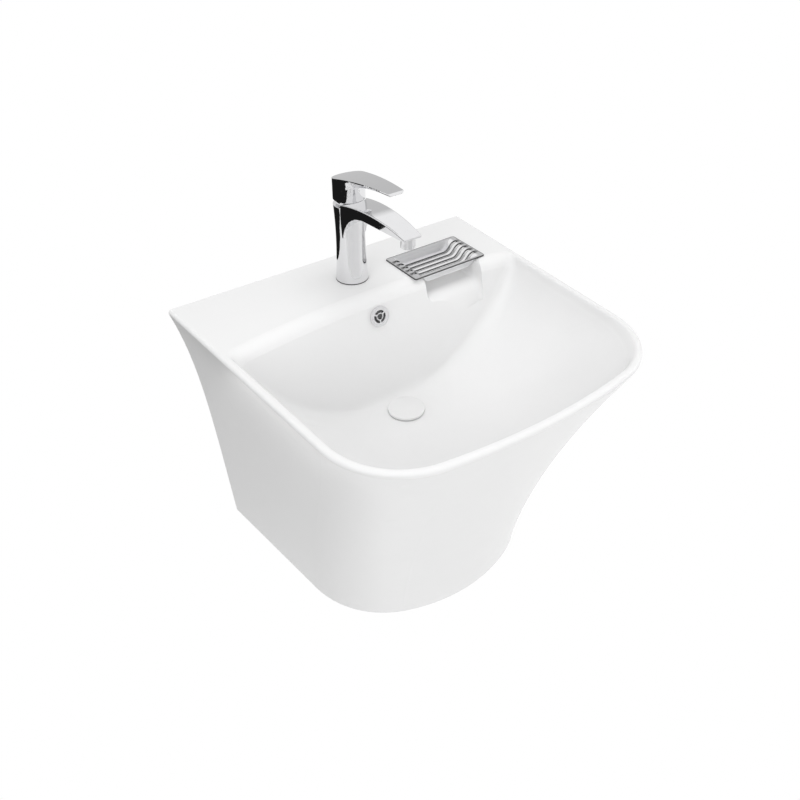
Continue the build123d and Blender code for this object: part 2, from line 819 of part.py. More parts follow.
with BuildPart() as lever_handle:
    add(lever_plate.part)
    with BuildSketch(level(tap_setback, pivot_z - hub_below_pivot)):
        Circle(hub_radius)
    extrude(amount=rim_z + lever_root_bottom - pivot_z + hub_below_pivot)
    with Locations((0, -tap_setback, pivot_z)):
        Sphere(bonnet_radius + hub_gap, mode=Mode.SUBTRACT)
    with BuildSketch(level(tap_setback, rim_z + socket_bottom)):
        Circle(socket_radius)
    extrude(amount=lever_root_bottom - socket_bottom)
    with BuildSketch(level(tap_setback, rim_z + socket_bottom)):
        Rectangle(stem_width + 2 * slide_gap, stem_width + 2 * slide_gap)
    extrude(amount=stem_top - socket_bottom + slide_gap, mode=Mode.SUBTRACT)
    screw_plane = Plane(
        origin=(0, -tap_setback, rim_z + lever_screw_height), x_dir=(-1, 0, 0), z_dir=(0, 1, 0)
    )
    with BuildSketch(screw_plane):
        Circle(lever_screw_radius + joint_gap)
    extrude(amount=hub_radius, mode=Mode.SUBTRACT)
    with BuildSketch(screw_plane.offset(lever_screw_outer)):
        Circle(lever_plug_radius + joint_gap)
    extrude(amount=hub_radius, mode=Mode.SUBTRACT)

with BuildPart() as lever_screw:
    with BuildSketch(screw_plane.offset(stem_width / 2)):
        Circle(lever_screw_radius)
    extrude(amount=lever_screw_outer - stem_width / 2)

with BuildPart() as lever_plug:
    with BuildSketch(screw_plane.offset(lever_screw_outer)):
        Circle(lever_plug_radius)
    extrude(amount=sqrt(hub_radius ** 2 - lever_plug_radius ** 2) - lever_screw_outer)

# Aerator
aerator_setback = tap_setback + aerator_reach
boss_z = rim_z + aerator_boss_bottom
thread_top = boss_z + aerator_thread_height
aerator_line = upright(aerator_setback)
aerator_housing = turned(
    aerator_line,
    (aerator_bore_radius, rim_z + aerator_bottom),
    (aerator_boss_radius, rim_z + aerator_bottom),
    (aerator_boss_radius, boss_z),
    (aerator_thread_radius, boss_z),
    (aerator_thread_radius, thread_top),
    (aerator_bore_radius, thread_top),
)
aerator_seal = ring(
    aerator_line,
    aerator_thread_radius,
    aerator_bore_radius,
    thread_top,
    thread_top + aerator_seal_thickness,
)

with BuildPart() as aerator_insert:
    with BuildSketch(level(aerator_setback, thread_top - aerator_insert_height)):
        Circle(aerator_bore_radius - joint_gap)
        with HexLocations(aerator_hole_pitch, aerator_hole_rows, aerator_hole_rows):
            Circle(aerator_hole_radius, mode=Mode.SUBTRACT)
    extrude(amount=aerator_insert_height)

# Overflow trim: ring, hub and parallel-sided spokes
with BuildPart() as overflow_trim:
    with BuildSketch(overflow_plane.offset(trim_gap)):
        Circle(trim_radius)
        Circle(trim_opening_outer, mode=Mode.SUBTRACT)
        Circle(trim_opening_inner)
        with PolarLocations(trim_opening_outer / 2, trim_spoke_count, start_angle=trim_turn):
            Rectangle(trim_opening_outer, trim_spoke_width)
        Circle(trim_hub_radius, mode=Mode.SUBTRACT)
    extrude(amount=trim_flange)
    with BuildSketch(overflow_plane.offset(trim_gap)):
        Circle(overflow_radius - slide_gap)
        Circle(trim_opening_outer, mode=Mode.SUBTRACT)
    extrude(amount=-trim_sleeve)

# Waste
drain_line = upright(drain_setback)
waste_low = floor_z - waste_length
spider_top = floor_z - spider_drop
spider_low = spider_top - spider_hub_height
flange_under = floor_z - flange_thickness
gasket_under = flange_under - flange_gasket_thickness

with BuildPart() as waste_body:
    add(turned(
        drain_line,
        (waste_bore_radius, waste_low),
        (waste_radius, waste_low),
        (waste_radius, flange_under),
        (flange_radius, flange_under),
        (flange_radius, floor_z),
        (waste_bore_radius + flange_thickness, floor_z),
        (waste_bore_radius, flange_under),
    ).part)
    # Overflow windows, two pairs that face each other
    for across in ((1, 0, 0), (0, 1, 0)):
        with BuildSketch(Plane(origin=(0, -drain_setback, duct_middle), x_dir=(0, 0, 1), z_dir=across)):
            Rectangle(waste_window_height, waste_window_width)
        extrude(amount=waste_radius, both=True, mode=Mode.SUBTRACT)
    with BuildSketch(level(drain_setback, spider_low)):
        Circle(spider_hub_radius)
        with PolarLocations(waste_bore_radius / 2, spider_arm_count):
            Rectangle(waste_bore_radius + tail_wall, spider_arm_width)
        Circle(click_radius + joint_gap, mode=Mode.SUBTRACT)
    extrude(amount=spider_hub_height)

waste_flange_gasket = ring(
    drain_line, flange_radius, waste_radius + seat_gap, gasket_under, flange_under
)
waste_lower_gasket = ring(
    drain_line, lower_gasket_radius, waste_radius + slide_gap, seat_z - lower_gasket_thickness, seat_z
)
waste_lock_nut = hex_nut(
    level(drain_setback, seat_z - lower_gasket_thickness - lock_nut_height),
    lock_nut_flats,
    waste_radius + joint_gap,
    lock_nut_height,
)
click_cartridge = turned(
    drain_line,
    (plug_stem_radius + running_gap, spider_top - click_length),
    (click_radius, spider_top - click_length),
    (click_radius, spider_top),
    (click_collar, spider_top),
    (click_collar, spider_top + click_collar_height),
    (plug_stem_radius + running_gap, spider_top + click_collar_height),
)

# Push plug
cap_under = floor_z + cap_lift
stem_head = cap_under - cap_boss_height + plug_stem_in_cap
dome_radius = (cap_radius ** 2 + cap_crown ** 2) / (2 * cap_crown)
cap_sink = dome_radius - sqrt(dome_radius ** 2 - (cap_radius / 2) ** 2)

with BuildPart() as waste_cap:
    with BuildSketch(drain_line) as half_section:
        with BuildLine():
            Polyline(
                (0, cap_under + cap_edge + cap_crown),
                (0, stem_head),
                (plug_stem_radius + joint_gap, stem_head),
                (plug_stem_radius + joint_gap, cap_under - cap_boss_height),
                (cap_boss_radius, cap_under - cap_boss_height),
                (cap_boss_radius, cap_under),
                (cap_radius, cap_under),
                (cap_radius, cap_under + cap_edge),
            )
            ThreePointArc(
                (cap_radius, cap_under + cap_edge),
                (cap_radius / 2, cap_under + cap_edge + cap_crown - cap_sink),
                (0, cap_under + cap_edge + cap_crown),
            )
        make_face()
        fillet(half_section.vertices().sort_by(Axis.X)[-2:].sort_by(Axis.Y)[-1], cap_round)
    revolve(axis=Axis(drain_line.origin, drain_line.y_dir))

waste_cap_seal = ring(drain_line, cap_seal_outer, cap_seal_inner, floor_z + seat_gap, cap_under)

with BuildPart() as plug_stem:
    with BuildSketch(level(drain_setback, stem_head)):
        Circle(plug_stem_radius)
    extrude(amount=-plug_stem_length - spider_drop)

# Tailpiece and bottle trap
tail_top = waste_low + tail_in_waste
tail_low = tail_top - tail_length
collar_top = tail_low + tail_in_trap
shoulder_top = collar_top - trap_collar_height
trap_top = shoulder_top - trap_shoulder
trap_low = trap_top - trap_body_height
port_z = trap_top - trap_port_drop
tail_bore = tail_radius - tail_wall
pipe_socket = tail_radius + slide_gap
dip_radius = tail_bore + trap_wall
dip_low = trap_low - trap_dip
trap_bore = trap_radius - trap_wall
port_end = trap_radius + trap_port_length
outlet_line = level(drain_setback, port_z)
port_plane = Plane(origin=(0, -drain_setback, port_z), x_dir=(1, 0, 0), z_dir=(0, 1, 0))

waste_tailpiece = turned(
    drain_line,
    (tail_bore, tail_low),
    (tail_radius, tail_low),
    (tail_radius, waste_low),
    (waste_bore_radius - joint_gap, waste_low),
    (waste_bore_radius - joint_gap, tail_top),
    (tail_bore, tail_top),
)

with BuildPart() as trap_body:
    add(turned(
        drain_line,
        (0, collar_top),
        (trap_collar_radius, collar_top),
        (trap_collar_radius, shoulder_top),
        (trap_radius, trap_top),
        (trap_radius, trap_low),
        (dip_radius, trap_low),
        (dip_radius, dip_low),
        (0, dip_low),
    ).part)
    with BuildSketch(port_plane):
        Circle(trap_collar_radius)
    extrude(amount=port_end)
    # Water chamber round the dip tube
    add(turned(
        drain_line,
        (dip_radius, shoulder_top - 2 * trap_wall),
        (trap_bore, trap_top - trap_wall),
        (trap_bore, trap_low),
        (dip_radius, trap_low),
    ).part, mode=Mode.SUBTRACT)
    # Inlet socket and dip tube
    add(turned(
        drain_line,
        (0, collar_top),
        (pipe_socket, collar_top),
        (pipe_socket, tail_low),
        (tail_bore, tail_low),
        (tail_bore, dip_low),
        (0, dip_low),
    ).part, mode=Mode.SUBTRACT)
    # Outlet port and its socket
    with BuildSketch(port_plane.offset((dip_radius + trap_bore) / 2)):
        Circle(tail_bore)
    extrude(amount=port_end, mode=Mode.SUBTRACT)
    with BuildSketch(port_plane.offset(port_end - tail_in_trap)):
        Circle(pipe_socket)
    extrude(amount=tail_in_trap, mode=Mode.SUBTRACT)


def slip_seal(line, end):
    """Rubber ring on the end of a collar."""
    return ring(line, trap_collar_radius, pipe_socket, end, end + trap_seal_thickness)


def slip_nut(line, end):
    """Union nut over a collar that ends here, with its lip beyond the seal."""
    lip = end + trap_seal_thickness
    return turned(
        line,
        (trap_collar_radius + joint_gap, end - trap_nut_grip),
        (trap_nut_radius, end - trap_nut_grip),
        (trap_nut_radius, lip + trap_nut_lip),
        (pipe_socket, lip + trap_nut_lip),
        (pipe_socket, lip),
        (trap_collar_radius + joint_gap, lip),
    )


trap_inlet_seal = slip_seal(drain_line, collar_top)
trap_inlet_nut = slip_nut(drain_line, collar_top)
trap_outlet_seal = slip_seal(outlet_line, port_end)
trap_outlet_nut = slip_nut(outlet_line, port_end)

# Cup at the foot of the trap
ledge_z = trap_low - cup_seal_thickness
cup_top = trap_low + cup_overlap
cup_low = ledge_z - cup_depth
cup_radius = trap_radius + joint_gap + trap_wall

trap_cup_seal = ring(drain_line, trap_radius, trap_bore, ledge_z, trap_low)

with BuildPart() as trap_cup:
    add(turned(
        drain_line,
        (0, cup_low),
        (cup_radius, cup_low),
        (cup_radius, cup_top),
        (trap_radius + joint_gap, cup_top),
        (trap_radius + joint_gap, ledge_z),
        (trap_bore, ledge_z),
        (trap_bore, cup_low + trap_wall),
        (0, cup_low + trap_wall),
    ).part)
    fillet(trap_cup.edges().sort_by(Axis.Z)[0], trap_wall)

# Pipe to the wall and its cover flange
pipe_start = port_end - tail_in_trap
outlet_pipe = turned(
    outlet_line,
    (tail_bore, pipe_start),
    (tail_radius, pipe_start),
    (tail_radius, drain_setback),
    (outlet_spigot_radius, drain_setback),
    (outlet_spigot_radius, drain_setback + outlet_in_wall),
    (tail_bore, drain_setback + outlet_in_wall),
)
wall_flange = turned(
    outlet_line,
    (pipe_socket, drain_setback),
    (wall_flange_radius, drain_setback),
    (wall_flange_radius, drain_setback - wall_flange_edge),
    (pipe_socket + wall_flange_edge, drain_setback - wall_flange_height),
    (pipe_socket, drain_setback - wall_flange_height),
)

# Soap dish: a pressed tray with a flat frame, and slots along it
dish_front = Plane(origin=(dish_offset, -dish_setback, rim_z + seat_gap), x_dir=(1, 0, 0), z_dir=(0, -1, 0))
dish_end = Plane(origin=(dish_offset, -dish_setback, rim_z + seat_gap), x_dir=(0, 1, 0), z_dir=(1, 0, 0))
dish_plan = Plane(origin=(dish_offset, -dish_setback, rim_z + seat_gap))
dish_mouth = dish_length / 2 - dish_end_flange
dish_flat = dish_mouth - dish_ramp
dish_side = dish_width / 2 - dish_side_flange
dish_bar = (2 * dish_floor_half - dish_slot_count * dish_slot_width) / (dish_slot_count + 1)


def pressing(base, spread):
    """Hollow of the tray: an S-shaped front view cut by a tapered end view."""
    low = base - dish_depth
    top = base + dish_sheet
    with BuildPart() as hollow_form:
        with BuildSketch(dish_front):
            with BuildLine():
                Spline((-dish_mouth, base), (-dish_flat, low), tangents=((1, 0), (1, 0)))
                Line((-dish_flat, low), (dish_flat, low))
                Spline((dish_flat, low), (dish_mouth, base), tangents=((1, 0), (1, 0)))
                Polyline((dish_mouth, base), (dish_mouth, top), (-dish_mouth, top), (-dish_mouth, base))
            make_face()
        extrude(amount=dish_width, both=True)
        with BuildSketch(dish_end):
            with BuildLine():
                Polyline(
                    (-dish_floor_half - spread, low),
                    (dish_floor_half + spread, low),
                    (dish_side + spread, base),
                    (dish_side + spread, top),
                    (-dish_side - spread, top),
                    (-dish_side - spread, base),
                    close=True,
                )
            make_face()
        extrude(amount=dish_length, both=True, mode=Mode.INTERSECT)
    return hollow_form


tray_outside = pressing(0, dish_sheet)
tray_inside = pressing(dish_sheet, 0)

with BuildPart() as soap_dish:
    with BuildSketch(dish_plan):
        RectangleRounded(dish_length, dish_width, dish_corner)
    extrude(amount=dish_sheet)
    add(tray_outside.part)
    add(tray_inside.part, mode=Mode.SUBTRACT)
    with BuildSketch(dish_plan.offset(dish_sheet)):
        with GridLocations(0, dish_slot_width + dish_bar, 1, dish_slot_count):
            SlotOverall(dish_length - 2 * dish_slot_margin, dish_slot_width)
    extrude(amount=-dish_depth - 2 * dish_sheet, mode=Mode.SUBTRACT)

pieces = {
    "basin_body": basin_body,
    "wall_studs": wall_studs,
    "stud_bushes": stud_bushes,
    "stud_washers": stud_washers,
    "stud_nuts": stud_nuts,
    "tap_body": tap_body,
    "tap_base_seal": tap_base_seal,
    "tap_fixing_stud": tap_fixing_stud,
    "tap_clamp_seal": tap_clamp_seal,
    "tap_clamp_plate": tap_clamp_plate,
    "tap_fixing_nut": tap_fixing_nut,
    "cartridge_body": cartridge_body,
    "cartridge_nut": cartridge_nut,
    "cartridge_rotor": cartridge_rotor,
    "lever_pivot_pin": lever_pivot_pin,
    "lever_stem": lever_stem,
    "bonnet_ring": bonnet_ring,
    "lever_handle": lever_handle,
    "lever_screw": lever_screw,
    "lever_plug": lever_plug,
    "aerator_housing": aerator_housing,
    "aerator_insert": aerator_insert,
    "aerator_seal": aerator_seal,
    "overflow_trim": overflow_trim,
    "waste_body": waste_body,
    "waste_flange_gasket": waste_flange_gasket,
    "waste_lower_gasket": waste_lower_gasket,
    "waste_lock_nut": waste_lock_nut,
    "click_cartridge": click_cartridge,
    "waste_cap": waste_cap,
    "waste_cap_seal": waste_cap_seal,
    "plug_stem": plug_stem,
    "waste_tailpiece": waste_tailpiece,
    "trap_body": trap_body,
    "trap_inlet_seal": trap_inlet_seal,
    "trap_inlet_nut": trap_inlet_nut,
    "trap_outlet_seal": trap_outlet_seal,
    "trap_outlet_nut": trap_outlet_nut,
    "trap_cup": trap_cup,
    "trap_cup_seal": trap_cup_seal,
    "outlet_pipe": outlet_pipe,
    "wall_flange": wall_flange,
    "soap_dish": soap_dish,
}
os.makedirs("parts", exist_ok=True)
for label, piece in pieces.items():
    piece.part.label = label
    export_step(piece.part, f"parts/{label}.step")
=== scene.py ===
import json
import math

import bmesh
import bpy
import numpy as np
from mathutils import Matrix, Vector


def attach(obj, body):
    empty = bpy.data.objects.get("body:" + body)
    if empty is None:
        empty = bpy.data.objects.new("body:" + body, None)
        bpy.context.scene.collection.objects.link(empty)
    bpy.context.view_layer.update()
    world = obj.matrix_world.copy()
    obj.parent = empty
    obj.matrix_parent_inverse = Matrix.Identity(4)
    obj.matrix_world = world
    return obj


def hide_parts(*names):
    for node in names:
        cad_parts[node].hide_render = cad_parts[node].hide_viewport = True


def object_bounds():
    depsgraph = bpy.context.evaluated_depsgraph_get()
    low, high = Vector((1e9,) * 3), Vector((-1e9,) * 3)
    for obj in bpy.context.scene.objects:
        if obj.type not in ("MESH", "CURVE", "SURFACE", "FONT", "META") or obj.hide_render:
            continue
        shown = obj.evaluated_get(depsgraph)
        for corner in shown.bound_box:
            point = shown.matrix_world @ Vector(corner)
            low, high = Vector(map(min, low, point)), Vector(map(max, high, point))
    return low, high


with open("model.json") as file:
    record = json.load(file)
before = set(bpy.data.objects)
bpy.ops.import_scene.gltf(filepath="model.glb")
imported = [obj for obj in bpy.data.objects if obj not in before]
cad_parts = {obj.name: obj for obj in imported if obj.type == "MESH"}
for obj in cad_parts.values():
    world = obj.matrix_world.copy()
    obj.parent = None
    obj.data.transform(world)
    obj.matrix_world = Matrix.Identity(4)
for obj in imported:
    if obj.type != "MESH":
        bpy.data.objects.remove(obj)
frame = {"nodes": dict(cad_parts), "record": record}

bl_info = {
    "name": "Half-Pedestal Wash Basin",
    "version": (1, 0, 0),
    "blender": (4, 5, 0),
    "location": "View3D > Sidebar > Wash Basin",
    "description": "Finishes, camera and studio for a wall-hung wash basin with tap, waste and trap",
    "category": "Object",
}

CAD_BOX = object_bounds()
NODES = frame["nodes"]
SLOTS = {entry["node"]: entry["material_slot"] for entry in frame["record"]["subparts"]}
WHITE = (1.0, 1.0, 1.0, 1.0)


class Wire:
    """A shader value that takes Python arithmetic: each operator adds one Math node."""

    def __init__(self, finish, socket):
        self.finish = finish
        self.socket = socket

    def _math(self, operation, first, second):
        return self.finish.wire("ShaderNodeMath", {"operation": operation}, {0: first, 1: second})

    def __add__(self, other):
        return self._math("ADD", self, other)

    def __radd__(self, other):
        return self._math("ADD", other, self)

    def __sub__(self, other):
        return self._math("SUBTRACT", self, other)

    def __rsub__(self, other):
        return self._math("SUBTRACT", other, self)

    def __mul__(self, other):
        return self._math("MULTIPLY", self, other)

    def __rmul__(self, other):
        return self._math("MULTIPLY", other, self)

    def __pow__(self, other):
        return self._math("POWER", self, other)

    def most(self, other):
        return self._math("MAXIMUM", self, other)

    def least(self, other):
        return self._math("MINIMUM", self, other)

    def clipped(self):
        """The value, held between 0 and 1."""
        return self.most(0.0).least(1.0)

    def swing(self, top):
        """Rises from 0 to a top value and falls back, over and over."""
        return self._math("PINGPONG", self, top)

    def reach(self, middle, half):
        """Distance to the nearer of two ends, half a span to each side of a middle."""
        offset = self - middle
        return half - offset.most(-1.0 * offset)


class Finish:
    """A node material (or the world) that is being built."""

    def __init__(self, owner):
        self.owner = owner
        owner.use_nodes = True
        self.tree = owner.node_tree
        self.tree.nodes.clear()

    def node(self, kind, settings=None, sockets=None):
        """Adds a node of a type, applies its settings, then gives its sockets their values or links."""
        made = self.tree.nodes.new(kind)
        for key, value in (settings or {}).items():
            setattr(made, key, value)
        for key, value in (sockets or {}).items():
            if isinstance(value, Wire):
                self.tree.links.new(value.socket, made.inputs[key])
            else:
                made.inputs[key].default_value = value
        return made

    def wire(self, kind, settings=None, sockets=None, output=0):
        """The same, as a value for expressions."""
        return Wire(self, self.node(kind, settings, sockets).outputs[output])

    def parts(self, vector):
        """The X, Y and Z of a vector."""
        split = self.node("ShaderNodeSeparateXYZ", {}, {0: vector})
        return tuple(Wire(self, socket) for socket in split.outputs)

    def rays(self):
        """Whether a ray comes from the eye, straight or through glass, and whether from a mirror."""
        path = self.node("ShaderNodeLightPath")
        straight, through, mirror = (
            Wire(self, path.outputs[f"Is {kind} Ray"]) for kind in ("Camera", "Transmission", "Glossy")
        )
        return straight.most(through), mirror

    def place(self, scale=(1.0, 1.0, 1.0)):
        """Object coordinates in metres, stretched by a scale."""
        coords = self.wire("ShaderNodeTexCoord", output="Object")
        return self.wire("ShaderNodeMapping", {}, {"Vector": coords, "Scale": scale})

    def noise(self, scale, detail=3.0, stretch=(1.0, 1.0, 1.0)):
        """Cloudy noise from 0 to 1 with features of about 1 / scale metres."""
        return self.wire(
            "ShaderNodeTexNoise",
            {},
            {"Vector": self.place(stretch), "Scale": scale, "Detail": detail},
            output="Fac",
        )

    def mix(self, share, first, second):
        """Colour between two tones or coloured values, by a share from 0 to 1."""
        first, second = (end if isinstance(end, Wire) else (*end, 1.0) for end in (first, second))
        return self.wire("ShaderNodeMix", {"data_type": "RGBA"}, {0: share, 6: first, 7: second}, output=2)

    def bump(self, height, strength, distance):
        """Surface normal that follows a height value."""
        return self.wire(
            "ShaderNodeBump", {}, {"Height": height, "Strength": strength, "Distance": distance}
        )

    def surface(self, **sockets):
        """Principled shader on the surface output; names use underscores for spaces."""
        named = {key.replace("_", " "): value for key, value in sockets.items()}
        shader = self.wire("ShaderNodeBsdfPrincipled", {}, named)
        self.node("ShaderNodeOutputMaterial", {}, {"Surface": shader})


def tone(colour, share):
    """A colour made lighter or darker by a share."""
    return tuple(min(1.0, part * share) for part in colour)


def new_finish(name):
    return Finish(bpy.data.materials.new(name))


def glazed_china(colour, gloss):
    """White glaze: faint clouding in the colour, and the shallow waviness of fired clay."""
    finish = new_finish("glazed_china")
    clouds = finish.noise(scale=9.0)
    waves = finish.noise(scale=28.0, detail=1.0)
    specks = finish.noise(scale=900.0, detail=2.0)
    finish.surface(
        Base_Color=finish.mix(clouds, tone(colour, 0.985), colour),
        Roughness=gloss + 0.05 * clouds + 0.02 * specks,
        Normal=finish.bump(waves, strength=0.12, distance=0.0006),
        Specular_IOR_Level=0.35,
        Coat_Weight=0.08,
        Coat_Roughness=0.08,
    )
    return finish.owner


def cap_glaze(colour, gloss):
    """Glaze of the waste cap, a shade softer than the basin's."""
    finish = new_finish("cap_glaze")
    clouds = finish.noise(scale=60.0)
    waves = finish.noise(scale=140.0, detail=1.0)
    finish.surface(
        Base_Color=finish.mix(clouds, tone(colour, 0.98), colour),
        Roughness=gloss + 0.06 * clouds,
        Normal=finish.bump(waves, strength=0.1, distance=0.0002),
        Coat_Weight=0.2,
        Coat_Roughness=0.08,
    )
    return finish.owner


def polished_chrome(colour, gloss):
    """Chrome plate: mirror polish with a trace of wiping marks in the roughness."""
    finish = new_finish("polished_chrome")
    smears = finish.noise(scale=70.0, stretch=(1.0, 1.0, 0.3))
    fine = finish.noise(scale=600.0, detail=2.0)
    finish.surface(
        Base_Color=finish.mix(smears, tone(colour, 0.95), colour),
        Metallic=1.0,
        Roughness=gloss + 0.04 * smears * smears + 0.01 * fine,
        Normal=finish.bump(fine, strength=0.02, distance=0.0001),
    )
    return finish.owner


def pressed_steel(colour, gloss):
    """Stainless sheet: bars polished by soap, a satin frame, and painted shade: dark lines along the slots
    and the rim, upright faces near black for the shade in the slots, and a frame colour darkened as a painted
    dull reflection.

    Zones are told apart by the distance to the dish's ends and sides, by the distance to the nearest slot,
    and by the square of the normal's height. A gain is one over the width of a zone's soft edge.
    """
    slot_pitch, slot_half, shade_line_width, shade_line_gain = 0.01083, 0.0025, 0.0009, 2200.0
    slot_zone, zone_gain, tip_gain = 0.0098, 3000.0, 800.0
    end_frame, end_gain = 0.0105, 400.0
    side_frame, side_gain = 0.0055, 700.0
    rolled_edge, rim_shade_gain = 0.0016, 1500.0
    upright_shade_gain, steep_gain = 30.0, 3.0
    finish = new_finish("pressed_steel")
    lines = finish.noise(scale=700.0, detail=4.0, stretch=(0.03, 1.0, 1.0))
    clouds = finish.noise(scale=40.0)
    corners = np.array(NODES["soap_dish"].bound_box)
    middle = ((corners.max(axis=0) + corners.min(axis=0)) / 2).tolist()
    half = ((corners.max(axis=0) - corners.min(axis=0)) / 2).tolist()
    place_x, place_y, _ = finish.parts(finish.place())
    along = place_x.reach(middle[0], half[0])
    across = place_y.reach(middle[1], half[1])
    _, _, height = finish.parts(finish.wire("ShaderNodeTexCoord", output="Normal"))
    level = height ** 2.0
    # Painted shade: faces that stand upright, the slot walls and outer edges, are coloured near black for the
    # shade in the slots.
    upright_shade = (1.0 - level * upright_shade_gain).clipped()
    steep = (1.0 - level * steep_gain).clipped()
    # The frame at the ends and sides: a real satin roughness, and a colour darkened as a painted dull
    # reflection.
    satin_frame_and_shade = ((end_frame - along) * end_gain).most((side_frame - across) * side_gain)
    satin_frame_and_shade = satin_frame_and_shade.most(0.0).least(1.0 - steep)
    # Painted shade: a dark line along the rim of the dish.
    rim_shade = ((rolled_edge - along.least(across)) * rim_shade_gain).clipped()
    from_slot = (place_y - middle[1]).swing(slot_pitch / 2)
    slotted = ((across - slot_zone) * zone_gain).least((along - rolled_edge) * tip_gain).clipped()
    # Painted shade: dark lines along both sides of each slot.
    slot_shade_line = ((slot_half + shade_line_width - from_slot) * shade_line_gain).clipped() * slotted
    sheet = finish.mix(lines, tone(colour, 0.94), colour)
    # Painted dull reflection: the frame's colour is darkened.
    sheet = finish.mix(satin_frame_and_shade, sheet, finish.mix(lines, tone(colour, 0.62), tone(colour, 0.72)))
    # Painted shade on the rim line and the slot lines.
    sheet = finish.mix(rim_shade.most(slot_shade_line), sheet, finish.mix(lines, tone(colour, 0.2), tone(colour, 0.26)))
    finish.surface(
        # Base colour: near black on upright faces as painted shade, over the sheet.
        Base_Color=finish.mix(upright_shade, sheet, finish.mix(clouds, tone(colour, 0.05), tone(colour, 0.1))),
        Metallic=1.0,
        Roughness=gloss + 0.06 * lines + 0.05 * clouds + 0.12 * satin_frame_and_shade + 0.3 * steep,
        Normal=finish.bump(lines, strength=0.02, distance=0.0002),
    )
    return finish.owner


def zinc_plate(colour, gloss):
    """Zinc-plated steel: blotched, half matt."""
    finish = new_finish("zinc_plate")
    blotches = finish.noise(scale=160.0)
    grain = finish.noise(scale=1500.0)
    finish.surface(
        Base_Color=finish.mix(blotches, tone(colour, 0.8), tone(colour, 1.1)),
        Metallic=1.0,
        Roughness=gloss + 0.15 * blotches,
        Normal=finish.bump(grain, strength=0.15, distance=0.0002),
    )
    return finish.owner


def turned_brass(colour, gloss):
    """Turned brass: rings of tool marks along the height and a little tarnish."""
    finish = new_finish("turned_brass")
    marks = finish.noise(scale=900.0, stretch=(0.05, 0.05, 1.0))
    tarnish = finish.noise(scale=90.0)
    finish.surface(
        Base_Color=finish.mix(tarnish, tone(colour, 0.72), colour),
        Metallic=1.0,
        Roughness=gloss + 0.15 * tarnish,
        Normal=finish.bump(marks, strength=0.2, distance=0.0002),
    )
    return finish.owner


def moulded_rubber(colour, gloss):
    """Black rubber: matt with fine grain and a greyish bloom."""
    finish = new_finish("moulded_rubber")
    bloom = finish.noise(scale=120.0)
    grain = finish.noise(scale=2500.0)
    finish.surface(
        Base_Color=finish.mix(bloom, colour, tone(colour, 1.7)),
        Roughness=gloss + 0.15 * bloom,
        Normal=finish.bump(grain, strength=0.3, distance=0.0002),
    )
    return finish.owner


def moulded_plastic(name, colour, gloss):
    """Moulded plastic: slight flow clouds and a fine tool texture."""
    finish = new_finish(name)
    flow = finish.noise(scale=45.0)
    grain = finish.noise(scale=1800.0)
    finish.surface(
        Base_Color=finish.mix(flow, tone(colour, 0.95), colour),
        Roughness=gloss + 0.08 * flow,
        Normal=finish.bump(grain, strength=0.12, distance=0.0001),
    )
    return finish.owner


class BASIN_PG_finishes(bpy.types.PropertyGroup):
    """Colours and roughness of the finishes"""

    china: bpy.props.FloatVectorProperty(
        name="China", description="Colour of the basin's glaze",
        subtype="COLOR", size=3, default=(0.86, 0.86, 0.86),
    )
    china_gloss: bpy.props.FloatProperty(
        name="China roughness", description="Roughness of the glaze",
        subtype="FACTOR", default=0.22, min=0.0, max=1.0,
    )
    cap: bpy.props.FloatVectorProperty(
        name="Cap", description="Colour of the waste cap",
        subtype="COLOR", size=3, default=(0.84, 0.84, 0.84),
    )
    chrome: bpy.props.FloatVectorProperty(
        name="Chrome", description="Colour of the chrome plate",
        subtype="COLOR", size=3, default=(0.82, 0.82, 0.83),
    )
    chrome_gloss: bpy.props.FloatProperty(
        name="Chrome roughness", description="Roughness of the chrome plate",
        subtype="FACTOR", default=0.03, min=0.0, max=1.0,
    )
    dish: bpy.props.FloatVectorProperty(
        name="Dish", description="Colour of the soap dish",
        subtype="COLOR", size=3, default=(0.86, 0.86, 0.87),
    )
    dish_gloss: bpy.props.FloatProperty(
        name="Dish roughness", description="Roughness of the soap dish's bars",
        subtype="FACTOR", default=0.16, min=0.0, max=1.0,
    )
    zinc: bpy.props.FloatVectorProperty(
        name="Zinc", description="Colour of the plated fixings",
        subtype="COLOR", size=3, default=(0.55, 0.57, 0.60),
    )
    zinc_gloss: bpy.props.FloatProperty(
        name="Zinc roughness", description="Roughness of the plated fixings",
        subtype="FACTOR", default=0.32, min=0.0, max=1.0,
    )
    brass: bpy.props.FloatVectorProperty(
        name="Brass", description="Colour of the bare brass",
        subtype="COLOR", size=3, default=(0.72, 0.53, 0.25),
    )
    brass_gloss: bpy.props.FloatProperty(
        name="Brass roughness", description="Roughness of the bare brass",
        subtype="FACTOR", default=0.25, min=0.0, max=1.0,
    )
    rubber: bpy.props.FloatVectorProperty(
        name="Rubber", description="Colour of the seals",
        subtype="COLOR", size=3, default=(0.03, 0.03, 0.03),
    )
    rubber_gloss: bpy.props.FloatProperty(
        name="Rubber roughness", description="Roughness of the seals",
        subtype="FACTOR", default=0.6, min=0.0, max=1.0,
    )
    white: bpy.props.FloatVectorProperty(
        name="White plastic", description="Colour of the trap",
        subtype="COLOR", size=3, default=(0.78, 0.78, 0.77),
    )
    white_gloss: bpy.props.FloatProperty(
        name="White plastic roughness", description="Roughness of the trap",
        subtype="FACTOR", default=0.28, min=0.0, max=1.0,
    )
    grey: bpy.props.FloatVectorProperty(
        name="Grey plastic", description="Colour of inner plastic",
        subtype="COLOR", size=3, default=(0.25, 0.26, 0.27),
    )
    grey_gloss: bpy.props.FloatProperty(
        name="Grey plastic roughness", description="Roughness of inner plastic",
        subtype="FACTOR", default=0.45, min=0.0, max=1.0,
    )


